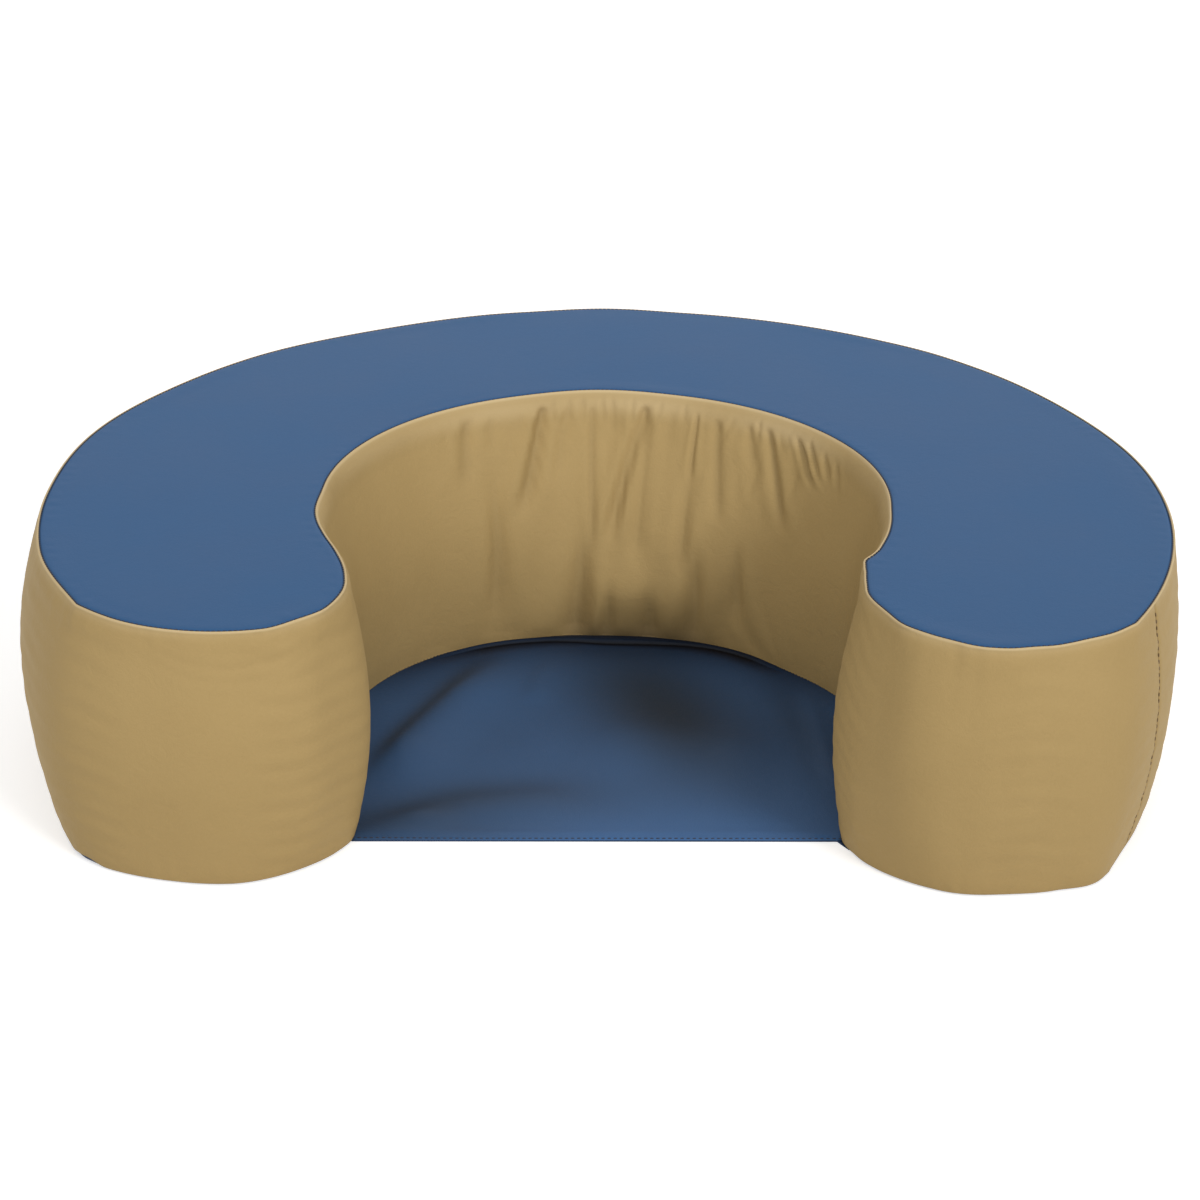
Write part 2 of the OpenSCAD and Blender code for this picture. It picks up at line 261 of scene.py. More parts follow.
TOP_STRAY = swells(RUN, STRAY)
TOP_KINKS = swells(RUN, [row for row in STRAY if row[1] < KINK])
PLAN = PLAN + unit(smoothed(OUT, AT_WALL)) * TOP_STRAY[:, None]
ALONG = unit(np.roll(PLAN, -1, axis=0) - np.roll(PLAN, 1, axis=0))
SIDE = np.column_stack([ALONG[:, 1], -ALONG[:, 0]])
OUT = SIDE * np.sign((SIDE * OUT).sum(1))[:, None]
OUT_SEAM, OUT_SOFT = unit(smoothed(OUT, AT_SEAM)), unit(smoothed(OUT, AT_WALL))
SOFT_PLAN, OUT_WIDE = smoothed(PLAN, 9.0), unit(smoothed(OUT, 16.0))
BY_ZIP = window(RUN, S_ZIP_FROM - 60, S_ZIP_TO + 60, 60)
ROUNDED = (smoothed(PLAN, 13.0) - PLAN) * (1 - BY_ZIP)[:, None]


def on_run(values, s):
    """Values kept at the outline's points, at the runs s."""
    s = np.asarray(s) % ROUND
    x = np.append(RUN, ROUND)
    if values.ndim == 1:
        return np.interp(s, x, np.append(values, values[0]))
    return np.stack([np.interp(s, x, np.append(c, c[0])) for c in values.T], axis=-1)


def foot_line(s):
    """The foot of the wall in plan at the runs s."""
    at_foot = on_run(LEANS, s) + foot_stray(s) + 0.2
    return on_run(PLAN, s) + on_run(OUT_SEAM, s) * at_foot[:, None]


# ---- meshes
def new_object(name, points_mm, faces):
    mesh = bpy.data.meshes.new(name)
    mesh.from_pydata((np.asarray(points_mm) / 1000).tolist(), [], faces)
    mesh.validate()
    mesh.shade_smooth()
    return add_object(name, mesh)


def quads(index, closed=False):
    """Faces between neighbours in a table of point numbers. closed joins its last row to its
    first."""
    if closed:
        index = np.vstack([index, index[:1]])
    corners = index[:-1, :-1], index[1:, :-1], index[1:, 1:], index[:-1, 1:]
    return np.stack(corners, axis=-1).reshape(-1, 4).tolist()


def grid_object(name, points, closed=False):
    index = np.arange(points[..., 0].size).reshape(points.shape[:2])
    return new_object(name, points.reshape(-1, 3), quads(index, closed))


def facing_up(points, triangles):
    """The triangles turned to face up, less any that are a line in plan."""
    turned = []
    for a, b, c in triangles:
        pa, pb, pc = points[a], points[b], points[c]
        area = (pb[0] - pa[0]) * (pc[1] - pa[1]) - (pc[0] - pa[0]) * (pb[1] - pa[1])
        if abs(area) > 1e-6:
            turned.append((a, b, c) if area > 0 else (a, c, b))
    return turned


def thicken(obj, mm, offset=-1):
    solid = obj.modifiers.new("thickness", "SOLIDIFY")
    solid.thickness = mm / 1000
    solid.offset = offset
    solid.use_rim = True
    return obj


def add_faces(obj, points_mm, faces):
    mesh = obj.data
    old = [tuple(1000 * c for c in v.co) for v in mesh.vertices]
    kept = [tuple(f.vertices) for f in mesh.polygons]
    mesh.clear_geometry()
    every = np.array(old + [tuple(p) for p in points_mm]) / 1000
    added = [tuple(len(old) + i for i in f) for f in faces]
    mesh.from_pydata(every.tolist(), [], kept + added)
    mesh.shade_smooth()


def weld(obj, distance):
    bm = bmesh.new()
    bm.from_mesh(obj.data)
    bmesh.ops.remove_doubles(bm, verts=bm.verts, dist=distance)
    bm.to_mesh(obj.data)
    bm.free()


def put_values(obj, name, values):
    """Keeps a value at each of the mesh's points for its material."""
    made = obj.data.attributes.new(name, "FLOAT", "POINT")
    made.data.foreach_set("value", np.ascontiguousarray(values, np.float32).reshape(-1))


def inside(points, ring):
    x, y = points[:, 0][:, None], points[:, 1][:, None]
    a, b = ring, np.roll(ring, -1, axis=0)
    cross = (a[:, 1] > y) != (b[:, 1] > y)
    with np.errstate(divide="ignore", invalid="ignore"):
        at = (b[:, 0] - a[:, 0]) * (y - a[:, 1]) / (b[:, 1] - a[:, 1]) + a[:, 0]
    return (cross & (x < at)).sum(1) % 2 == 1


def distance_to(points, ring, at_once=200):
    d = np.full(len(points), 1e9)
    for start in range(0, len(ring), at_once):
        part = ring[start : start + at_once]
        near = norm(points[:, None, :2] - part[None, :, :2], axis=2).min(1)
        d = np.minimum(d, near)
    return d


def fill_ring(ring, spacing, clear, rows_by=None, keep_off=0.0):
    """Points and triangles that fill a plan ring with an even mesh. rows_by are further points
    along an edge, and keep_off is how far the even ones stay from the first of their rows."""
    low, high = ring.min(0), ring.max(0)
    rows = []
    for j, y in enumerate(np.arange(low[1], high[1], spacing * 0.87)):
        x = np.arange(low[0] + (j % 2) * spacing / 2, high[0], spacing)
        rows.append(np.column_stack([x, np.full(len(x), y)]))
    points = np.vstack(rows)
    points = points[inside(points, ring)]
    points = points[distance_to(points, ring) > clear]
    if rows_by is not None:
        points = points[distance_to(points, rows_by[0]) > keep_off]
        extra = np.vstack(rows_by[1:])
        extra = extra[inside(extra, ring)]
        points = np.vstack([points, extra[distance_to(extra, ring) > 1.5]])
    every = [Vector(p) for p in ring] + [Vector(p) for p in points]
    edges = [(i, (i + 1) % len(ring)) for i in range(len(ring))]
    made = delaunay_2d_cdt(every, edges, [], 1, 1e-4)
    return np.array([tuple(v) for v in made[0]]), [tuple(f) for f in made[2]]


def panel(name, rings, spacing, height_at, upward=True):
    """A sewn panel: rings of points from its seam inwards, then an even fill."""
    n = len(rings[0])
    inner = rings[-1]
    fill, triangles = fill_ring(inner[:, :2], spacing, spacing * 0.6)
    points = list(np.vstack(rings))
    base = (len(rings) - 1) * n
    key = {(round(p[0], 2), round(p[1], 2)): base + i for i, p in enumerate(inner)}
    index = []
    for p in fill:
        k = (round(p[0], 2), round(p[1], 2))
        if k not in key:
            key[k] = len(points)
            points.append(np.array([p[0], p[1], 0.0]))
        index.append(key[k])
    points = np.array(points)
    points[base:, 2] = height_at(points[base:])
    faces = quads(np.arange(len(rings) * n).reshape(-1, n).T, closed=True)
    faces += facing_up(points, [tuple(index[i] for i in f) for f in triangles])
    if not upward:
        faces = [f[::-1] for f in faces]
    obj = new_object(name, points, faces)
    weld(obj, 2e-5)
    return thicken(obj, COVER_T)


# ---- folds and slack
# Folds of the inner wall: direction and height of their top, the same of their foot, depth and
# half-width in mm. Heights are shares of the wall's height.
FOLDS = [
    (124.5, 0.95, 131, 0.68, 2.2, 7), (121.5, 0.8, 126, 0.02, 2.9, 8),
    (118.5, 0.95, 121, 0.8, 1.3, 4.5), (105.3, 0.96, 115.5, 0.54, 2.9, 6),
    (100.7, 0.945, 105, 0.68, 1.2, 5), (94.3, 0.955, 96, 0.34, 2.7, 4.4),
    (98, 0.6, 103, -0.12, 3.1, 11), (81.2, 0.96, 89.5, 0.4, 2.7, 6),
    (80.6, 0.92, 80.2, 0.3, 1.4, 5.5), (69.4, 0.955, 68.1, 0.68, 3.2, 2.2),
    (68.5, 0.8, 67.5, 0.24, 1.7, 6.5), (64.4, 0.945, 57.5, 0.52, 3, 5.1),
    (60, 0.965, 62.3, 0.84, 1.1, 2.6), (56.2, 0.95, 52, 0.78, 2.2, 4.2),
    (51.4, 0.955, 36.5, 0.58, 3.6, 5.15), (47.8, 0.95, 45, 0.87, 1.3, 2.5),
    (43.2, 0.96, 31.5, 0.79, 4.3, 3.7), (39.2, 0.965, 30, 0.82, 3, 2.8),
    (33.5, 0.95, 27.5, 0.84, 2.2, 3), (28.5, 0.94, 24, 0.83, 2, 2.8),
    (50.6, 0.54, 49.4, 0.1, 1.9, 7.5), (62.4, 0.52, 63.5, -0.05, 2.6, 8),
    (76, 0.34, 76.5, -0.1, 1.8, 8), (88, 0.32, 91, -0.1, 1.7, 9),
    (88, 0.95, 87, 0.82, 0.8, 3.6), (75, 0.95, 76, 0.8, 0.8, 4),
    (111, 0.95, 113, 0.82, 0.7, 4), (131, 0.94, 133, 0.8, 0.5, 5),
    (103, 0.985, 104.5, 0.86, 2, 2.4), (99.2, 0.985, 100.4, 0.88, 1.7, 2.2),
    (96.4, 0.985, 96.8, 0.85, 2.2, 2.6), (92, 0.985, 91.6, 0.87, 1.9, 2.3),
    (89.6, 0.985, 89, 0.83, 2.1, 2.8), (84.8, 0.985, 84.6, 0.87, 1.8, 2.4),
    (78.2, 0.985, 78.6, 0.88, 1.6, 2.4), (72.6, 0.985, 72.2, 0.89, 1.5, 2.2),
    (54, 0.98, 52.4, 0.88, 1.6, 2.2),
]
WIDE, WIDEST = 5.2, 99.0  # folds from the half-width WIDE up are simulated, narrower ones are drawn
FROM_SEAM = 0.9  # a fold whose top is above this share of the height starts sharply, at the seam
# Bulges of the inner wall: direction, height, half-width and half-height in mm, and how far they
# stand out
BULGES = [(82, 45, 42, 22, 6.5), (66, 38, 20, 20, 2.0)]
ROLL_OUT, ROLL_DEPTH = 2.3, 24.0  # the rolled rim below the top seam
HUNG_S, HUNG_HALF, HUNG_DROP = 1846.0, 84.0, 27.0  # drag lines on the front of the left arm


def smooth_wave(seed, terms, low, high):
    """A smooth, repeatable wave along the outline, of about unit height."""
    r = np.random.RandomState(seed)
    turns = r.randint(low, high, terms)
    phase = r.rand(terms) * 2 * math.pi
    amp = (0.5 + r.rand(terms)) / math.sqrt(terms)

    def wave(s):
        s = np.asarray(s)[..., None]
        return (amp * np.sin(2 * math.pi * turns * s / ROUND + phase)).sum(-1)

    return wave


ripple_wave = smooth_wave(11, 9, 20, 70)
seam_wave = smooth_wave(5, 14, 110, 300)
swell_wave = smooth_wave(23, 8, 12, 46)
drift_wave = smooth_wave(31, 6, 8, 30)


def fold_depth(s, t, narrowest, widest):
    """How far the folds of some widths draw the inner wall in, in mm, at run s and height t."""
    s, t = np.broadcast_arrays(s, t)
    total = np.zeros(s.shape)
    angle = direction_of(on_run(PLAN, s)) % 360
    for a_top, t_top, a_foot, t_foot, depth, half in FOLDS:
        if not narrowest <= half < widest:
            continue
        tall = t_top - t_foot
        f = ramp(t, t_top, t_foot)
        off = np.radians(angle - a_top - (a_foot - a_top) * f) * OPENING_R
        width = half * (0.75 + 0.8 * f)
        beside = 0.45 * bell(off - 2.1 * width, 1.3 * width) + 0.35 * bell(off + 2 * width, 1.3 * width)
        start = limited((t_top - t) / (0.03 if t_top > FROM_SEAM else 0.55 * tall))
        end = limited((t - t_foot) / (0.35 * tall))
        total += depth * eased(start) * eased(end) * (bell(off, width) - beside)
    return np.where((s > S_NOSE_L) & (s < S_STRAIGHT_R), total, 0)


def off_seams(z, reach):
    """0 at the top and bottom seams, and 1 from reach mm off them."""
    return limited(np.minimum(z, HEIGHT - z) / reach)


def slack_of(s, z):
    """The fine unevenness of a stuffed vinyl wall, in mm: broad ripples, level drag lines and
    puckers that the seams draw in."""
    inner, edge = on_run(INNER_SHARE, s), off_seams(z, 12)
    drag = np.sin(z / 2.6 + 1.7 * swell_wave(s)) + 0.7 * np.sin(z / 4.3 + 2.3 * drift_wave(s))
    dragged = 0.24 * edge * limited(0.5 + drift_wave(s + 40)) * (1 - inner)
    low, high = z / 7, (HEIGHT - z) / 8
    held = 0.35 + 0.65 * limited(swell_wave(s + 90))
    tucks = 0.36 * held * high * np.exp(1 - high) + 0.25 * low * np.exp(1 - low)
    aside = (s - HUNG_S) / HUNG_HALF
    below = z - (HEIGHT - 33 + HUNG_DROP * aside**2)
    hung = 0.2 * limited(1 - aside**2) * bell(below - 6, 13) * np.sin(below / 1.6)
    puckers = 0.8 * (0.7 - 0.3 * inner) * tucks * seam_wave(s)
    return 0.35 * ripple_wave(s) * edge + dragged * drag * edge + hung + puckers


# ---- the form of the walls
def profile(s, z):
    """Offset of the stuffed wall from the top seam's plan, in mm."""
    t = limited(z / HEIGHT)
    inner = on_run(INNER_SHARE, s)
    belly = on_run(BELLY, s) * np.sin(math.pi * t) ** 0.8
    belly = belly * (1 - 0.5 * inner * bell(t, 0.3))
    x = limited((HEIGHT - z) / ROLL_DEPTH)
    proud = ROLL_OUT * (0.2 + 0.8 * inner) * 6.75 * x * (1 - x) ** 2
    angle = direction_of(on_run(PLAN, s))
    for a, height, half, high, out in BULGES:
        off = np.radians(angle - a) * OPENING_R
        proud = proud + inner * out * bell(off, half) * bell(z - height, high)
    lean = on_run(LEANS, s) * (1 - t**LEAN_RISE) + foot_stray(s) * (1 - t) ** 1.2
    lean = lean - on_run(BY_ZIP * TOP_STRAY, s) * (1 - 0.5**1.2) * np.sin(math.pi * t)
    lean = lean - on_run(TOP_KINKS, s) * (1 - (1 - t) ** 1.2 - np.exp((z - HEIGHT) / 16))
    return belly + proud + lean


def wall_points(s, z, extra=0.0):
    """Points of the wall in mm for broadcast arrays s and z."""
    s, z = np.broadcast_arrays(np.asarray(s, float), np.asarray(z, float))
    clear = off_seams(z, 25)[..., None]
    p = on_run(PLAN, s) + clear * on_run(ROUNDED, s)
    out = unit(on_run(OUT_SEAM, s) * (1 - clear) + on_run(OUT_SOFT, s) * clear)
    xy = p + out * (profile(s, z) + extra)[..., None]
    return np.concatenate([xy, z[..., None]], axis=-1)


def catmull(values, x):
    """Smooth interpolation of the rows of values at the fractional row numbers x."""
    last = len(values) - 1
    i = np.clip(np.floor(x).astype(int), 0, last - 1)
    f = (x - i).reshape((-1,) + (1,) * (values.ndim - 1))
    a, b = values[np.maximum(i - 1, 0)], values[i]
    c, d = values[i + 1], values[np.minimum(i + 2, last)]
    return b + 0.5 * f * (c - a + f * (2 * a - 5 * b + 4 * c - d + f * (3 * (b - c) + d - a)))


# ---- the front band as cloth
SIM_STEP, SIM_LEVELS, SIM_FRAMES = 6.5, 31, 24
SIM_REACH = 9.0  # how far the cloth may move, in mm
EVEN_REACH, EVEN_SIGMA = 8, 3.2  # smoothing of the arms' share of the cloth, in steps


def cloth_settings(modifier):
    settings = modifier.settings
    settings.quality = 6
    settings.mass = 0.25
    settings.tension_stiffness = settings.compression_stiffness = 22
    settings.shear_stiffness = 12
    settings.bending_stiffness = 1.2
    settings.vertex_group_mass = "pin"
    settings.vertex_group_shrink = "loose"
    settings.shrink_min, settings.shrink_max = 0.0, -0.022
    settings.use_pressure = True
    settings.uniform_pressure_force = 2.2
    settings.effector_weights.gravity = 0
    modifier.collision_settings.use_collision = False
    modifier.collision_settings.use_self_collision = False
    modifier.point_cache.frame_start, modifier.point_cache.frame_end = 1, SIM_FRAMES


def simulate_wall(s0, s1):
    """Cuts the front band a little long round the opening, and stuffs it by cloth simulation.
    Returns its points less those of the plain wall, on an even grid from s0 to s1."""
    s = steps(s0, s1, SIM_STEP)
    z = np.linspace(0.5, HEIGHT - 0.5, SIM_LEVELS)
    inner = window(s, S_OPEN_L - 40, S_OPEN_R + 40, 60)
    seed = -1.3 * fold_depth(s[:, None], (z / HEIGHT)[None, :], WIDE, WIDEST)
    plain_wall = wall_points(s[:, None], z[None, :])
    slack = 2.0 * inner[:, None] * np.sqrt(np.sin(math.pi * z / HEIGHT))[None, :]
    start = wall_points(s[:, None], z[None, :], seed - slack)
    n, m = start.shape[:2]
    obj = grid_object("front_wall_cloth", start)
    pin = obj.vertex_groups.new(name="pin")
    loose = obj.vertex_groups.new(name="loose")
    for i in range(n):
        for k in range(m):
            if i in (0, n - 1) or k in (0, m - 1):
                pin.add([i * m + k], 1.0, "REPLACE")
            if inner[i] > 0:
                share = inner[i] * min(1.0, 0.25 + z[k] / HEIGHT)
                loose.add([i * m + k], float(share), "REPLACE")
    cloth_settings(obj.modifiers.new("stuffing", "CLOTH"))
    for f in range(1, SIM_FRAMES + 1):
        SCENE.frame_set(f)
    graph = bpy.context.evaluated_depsgraph_get()
    mesh = obj.evaluated_get(graph).to_mesh()
    found = np.empty(3 * n * m)
    mesh.vertices.foreach_get("co", found)
    bpy.data.objects.remove(obj)
    SCENE.frame_set(1)
    moved = found.reshape(n, m, 3) * 1000 - plain_wall
    far = norm(moved, axis=2, keepdims=True)
    moved = moved * np.minimum(1, SIM_REACH / np.maximum(far, 1e-6))
    k = np.exp(-0.5 * (np.arange(-EVEN_REACH, EVEN_REACH + 1) / EVEN_SIGMA) ** 2)
    k /= k.sum()
    padded = np.pad(moved, ((EVEN_REACH, EVEN_REACH), (0, 0), (0, 0)), "edge")
    even = np.apply_along_axis(lambda c: np.convolve(c, k, "valid"), 0, padded)
    gathered = window(s, S_BACK - 160, S_BACK + 260, 50)
    return even + (moved - even) * gathered[:, None, None]


# ---- wall meshes
# Rows that curl the wall's edge in at a seam: offset from the seam and distance from the edge
CURL = [(-0.8, 3.4), (-0.35, 2.1), (0.3, 1.4), (0.9, 1.6)]
BEAD = [(1.75, 1.15), (1.35, 0.5), (0.75, 0.3), (0.1, 0.75), (-0.35, 1.9), (-0.8, 3.2)]
CURLED = 2.4  # height of those rows
PLAIN_STEP, FRONT_STEPS, FRONT_RISE = 4.0, (2.6, 1.2), 2.0


def gathered_steps(s0, s1, coarse, fine):
    """Runs from s0 to s1, finer where the backrest is gathered."""
    dense = np.arange(s0, s1, 0.25)
    near = window(dense, S_BACK - 200, S_BACK + 290, 30)
    count = np.cumsum(0.25 / (coarse + (fine - coarse) * near))
    s = np.interp(np.linspace(0, count[-1], int(count[-1])), count, dense)
    s[[0, -1]] = s0, s1
    return s


def wall_body(s, z, moved):
    """Points of the wall between its curled edges, with folds, slack and drawn-in end seams."""
    z_row, edge = z[None, :], off_seams(z, 12)[None, :]
    t = z_row / HEIGHT
    folds = fold_depth(s[:, None], t, WIDE, WIDEST) * (1.0 if moved is None else 0.35)
    folds = folds + 0.62 * fold_depth(s[:, None], t, 0, WIDE)
    drawn_in = 1.3 * bell(np.minimum(s - s[0], s[-1] - s), 1.5)[:, None] * edge
    body = wall_points(s[:, None], z_row, slack_of(s[:, None], z_row) - folds - drawn_in)
    body[..., 2] += swells(s, FOOT_LIFT)[:, None] * np.exp(-z / 12)[None, :]
    if moved is not None:
        along = (s - s[0]) / (s[-1] - s[0]) * (len(moved) - 1)
        up = (z - 0.5) / (HEIGHT - 1) * (moved.shape[1] - 1)
        shift = catmull(catmull(moved, along).swapaxes(0, 1), up).swapaxes(0, 1)
        body = body + shift * edge[..., None]
    return body


def mark_wall(obj, s, points, to_top):
    """Keeps on the mesh a painted highlight along the wall's top, and painted shade low on the inner
    wall and in its folds' grooves.
    """
    high, low = HEIGHT - points[..., 2], points[..., 2]
    inner = on_run(INNER_SHARE, s)[:, None]
    angle = direction_of(points)
    # Painted highlight: a pale band below the top seam, brightest at the middle of the backrest, and a
    # thin pale line right at the seam
    painted_highlight = inner * (0.45 + 0.55 * bell(angle - 80, 38)) * bell(high - 8, 7.5)
    painted_highlight += 0.35 * (1 - inner) * bell(high - 3.2, 3.0)
    painted_highlight *= 0.8 + 0.25 * drift_wave(s + 7)[:, None]
    painted_highlight += 1.2 * bell(np.maximum(high - 1.2, 0), 0.9) * to_top
    put_values(obj, "painted_highlight", painted_highlight)
    # Painted shade: darker towards the foot of the inner wall, most in the middle of the backrest, and
    # darker in the grooves of the folds
    pocket_shade = ramp(angle, 52, 66) * ramp(angle, 108, 96)
    shade_and_grime = inner * (0.22 + 0.65 * pocket_shade) * np.exp(-((low / 20) ** 1.5))
    shade_and_grime += 0.055 * np.maximum(fold_depth(s[:, None], low / HEIGHT, 0, WIDEST), 0)
    put_values(obj, "shade_and_grime", shade_and_grime)


def make_wall(name, node_name, s, z0, z1, dz=PLAIN_STEP, foot="seam", head="seam", moved=None):
    z = steps(z0 + (foot == "seam") * CURLED, z1 - (head == "seam") * CURLED, dz)
    rows = [wall_body(s, z, moved)]
    seam, out = level(on_run(PLAN, s)), level(on_run(OUT_SEAM, s))
    if foot == "seam":
        at_foot = on_run(LEANS, s) + foot_stray(s)
        bottom = z0 + swells(s, FOOT_LIFT)
        curl = [seam + out * (d + at_foot)[:, None] + upright(bottom + h) for d, h in CURL]
        rows.insert(0, np.stack(curl, axis=1))
    if head == "seam":
        curl = [seam + out * d + upright(z1 - h + 0 * s) for d, h in BEAD]
        rows.append(np.stack(curl, axis=1))
    points = np.concatenate(rows, axis=1)
    obj = grid_object(name, points)
    mark_wall(obj, s, points, head == "seam")
    finish_piece(thicken(obj, COVER_T), TAN, "tan_vinyl", node_name, fill=1.0)


def level(xy):
    return np.column_stack([xy, np.zeros(len(xy))])


def upright(z):
    return np.column_stack([0 * z, 0 * z, z])


# ---- shader nodes
def shader(name, roughness, specular=0.5):
    material = bpy.data.materials.new(name)
    material.use_nodes = True
    tree = material.node_tree
    principled = tree.nodes["Principled BSDF"]
    principled.inputs["Roughness"].default_value = roughness
    principled.inputs["Specular IOR Level"].default_value = specular
    return material, tree, principled


def node(tree, kind, **values):
    made = tree.nodes.new("ShaderNode" + kind)
    for key, value in values.items():
        if hasattr(made, key):
            setattr(made, key, value)
        else:
            made.inputs[key.replace("_", " ")].default_value = value
    return made


def noise(tree, place, scale, detail, roughness, distortion=0.0):
    made = node(tree, "TexNoise", Scale=scale, Detail=detail, Roughness=roughness)
    made.inputs["Distortion"].default_value = distortion
    tree.links.new(place, made.inputs["Vector"])
    return made.outputs["Fac"]


def scaled(tree, value, share, plus=None):
    """share times value, and plus another value where one is given."""
    made = node(tree, "Math", operation="MULTIPLY" if plus is None else "MULTIPLY_ADD")
    tree.links.new(value, made.inputs[0])
    made.inputs[1].default_value = share
    if plus is not None:
        tree.links.new(plus, made.inputs[2])
    return made.outputs[0]


def two_tone(tree, value, dark, light, low=0.0, high=1.0):
    """dark where the value is up to low, light from high, and a blend between."""
    made = node(tree, "ValToRGB")
    first, second = made.color_ramp.elements
    first.position, first.color = low, (*dark, 1)
    second.position, second.color = high, (*light, 1)
    tree.links.new(value, made.inputs["Fac"])
    return made.outputs["Color"]


def relief(tree, height, strength, distance, over=None):
    made = node(tree, "Bump", Strength=strength, Distance=distance)
    tree.links.new(height, made.inputs["Height"])
    if over is not None:
        tree.links.new(over, made.inputs["Normal"])
    return made.outputs["Normal"]


# ---- materials
def vinyl(name, colour, deep, roughness, specular=0.15, creased=0.4, marks=()):
    """Coated vinyl: a fine pebbled grain, soft creases, cloudy colour and a satin surface. marks
    are values kept on the mesh that lay a colour over it: their name, the colour and its share."""
    material, tree, principled = shader(name, roughness, specular)
    link = tree.links.new
    place = node(tree, "TexCoord").outputs["Object"]
    cloud = noise(tree, place, 9.0, 3.0, 0.55)
    clouded = scaled(tree, noise(tree, place, 420.0, 2.0, 0.5), 0.35, plus=cloud)
    shown = two_tone(tree, clouded, deep, colour, 0.35, 0.95)
    for mark_name, mark_colour, mark_share in marks:
        mark = node(tree, "Attribute", attribute_name=mark_name)
        mixed = node(tree, "Mix", data_type="RGBA", blend_type="MIX")
        link(scaled(tree, mark.outputs["Fac"], mark_share), mixed.inputs["Factor"])
        link(shown, mixed.inputs["A"])
        mixed.inputs["B"].default_value = (*mark_colour, 1)
        shown = mixed.outputs["Result"]
    link(shown, principled.inputs["Base Color"])
    pebble = node(tree, "TexVoronoi", feature="SMOOTH_F1", Scale=780.0, Smoothness=0.6)
    link(place, pebble.inputs["Vector"])
    fine = noise(tree, place, 1500.0, 3.0, 0.6)
    grain = relief(tree, scaled(tree, fine, 0.7, plus=pebble.outputs["Distance"]), 0.18, 0.0004)
    crinkle = noise(tree, place, 55.0, 4.0, 0.6, distortion=1.6)
    link(relief(tree, crinkle, creased, 0.0012, over=grain), principled.inputs["Normal"])
    rough = node(tree, "MapRange", To_Min=roughness - 0.06, To_Max=roughness + 0.08)
    link(cloud, rough.inputs["Value"])
    link(rough.outputs["Result"], principled.inputs["Roughness"])
    return material


def plain(name, colour, roughness, metallic=0.0, scale=600.0, spread=0.25):
    """Thread, foam, moulded or plated: a fine uneven surface, spread darker in its hollows."""
    material, tree, principled = shader(name, roughness)
    principled.inputs["Metallic"].default_value = metallic
    uneven = noise(tree, node(tree, "TexCoord").outputs["Object"], scale, 3.0, 0.6)
    shown = two_tone(tree, uneven, [c * (1 - spread) for c in colour], colour, 0.3, 0.7)
    tree.links.new(shown, principled.inputs["Base Color"])
    tree.links.new(relief(tree, uneven, 0.2, 0.0002), principled.inputs["Normal"])
    return material


def woven(name, light, dark, roughness, thread_mm=0.9):
    """Woven tape: threads along the run kept on the mesh, and across it."""
    material, tree, principled = shader(name, roughness, 0.2)
    link = tree.links.new
    run = node(tree, "Attribute", attribute_name="run")
    parts = node(tree, "SeparateXYZ")
    link(node(tree, "TexCoord").outputs["Object"], parts.inputs[0])
    weave = node(tree, "Math", operation="MULTIPLY")
    turns = 2 * math.pi / thread_mm
    for i, value, per_mm in ((0, run.outputs["Fac"], 1), (1, parts.outputs["Z"], 1000)):
        wave = node(tree, "Math", operation="SINE")
        link(scaled(tree, value, turns * per_mm), wave.inputs[0])
        link(wave.outputs[0], weave.inputs[i])
    raised = node(tree, "MapRange", From_Min=-1.0)
    link(weave.outputs[0], raised.inputs["Value"])
    raised = raised.outputs["Result"]
    link(two_tone(tree, raised, dark, light), principled.inputs["Base Color"])
    link(relief(tree, raised, 0.5, 0.0002), principled.inputs["Normal"])
    return material


# A painted highlight along the tan walls' top, and painted shade low on the inner wall and in its folds
RIM_HIGHLIGHT, TAN_SHADE = (0.68, 0.53, 0.31), (0.075, 0.058, 0.036)
# Painted shade with some grime on the floor, painted shade before the wall, and a painted shadow in the
# crease
FLOOR_SHADE_GRIME, SHADE, CREASE_SHADOW = (0.016, 0.019, 0.019), (0.007, 0.018, 0.044), (0.003, 0.003, 0.004)
TAN = vinyl(
    "tan_vinyl", (0.418, 0.292, 0.124), (0.379, 0.262, 0.108), 0.58, 0.09,
    marks=[("painted_highlight", RIM_HIGHLIGHT, 0.46), ("shade_and_grime", TAN_SHADE, 0.8)],
)
BLUE = vinyl("blue_vinyl", (0.036, 0.102, 0.226), (0.031, 0.090, 0.206), 0.55, 0.08, creased=0.12)
FLOOR_BLUE = vinyl(
    "floor_vinyl", (0.053, 0.133, 0.298), (0.046, 0.116, 0.262), 0.45, 0.12, creased=0.25,
    marks=[("shade_and_grime", FLOOR_SHADE_GRIME, 1.0), ("shade", SHADE, 1.0), ("crease", CREASE_SHADOW, 1.0)],
)
NAVY = vinyl("navy_vinyl", (0.026, 0.050, 0.115), (0.020, 0.040, 0.095), 0.48)
NAVY_THREAD = plain("navy_thread", (0.012, 0.018, 0.040), 0.7, scale=2500)
TAN_THREAD = plain("tan_thread", (0.20, 0.125, 0.05), 0.7, scale=2500)
FOAM = plain("foam", (0.86, 0.82, 0.66), 0.95, scale=900, spread=0.3)
TAPE = woven("zip_tape", (0.36, 0.25, 0.12), (0.20, 0.135, 0.06), 0.85)
TEETH = plain("zip_teeth", (0.33, 0.23, 0.11), 0.42, scale=500, spread=0.12)
METAL = plain("zip_metal", (0.47, 0.47, 0.455), 0.34, metallic=1.0, scale=900, spread=0.25)


def finish_piece(obj, material, slot, *nodes, fill=None):
    obj.data.materials.clear()
    obj.data.materials.append(material)
    if nodes:
        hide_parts(*nodes)
    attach(obj, "seat")
    return obj


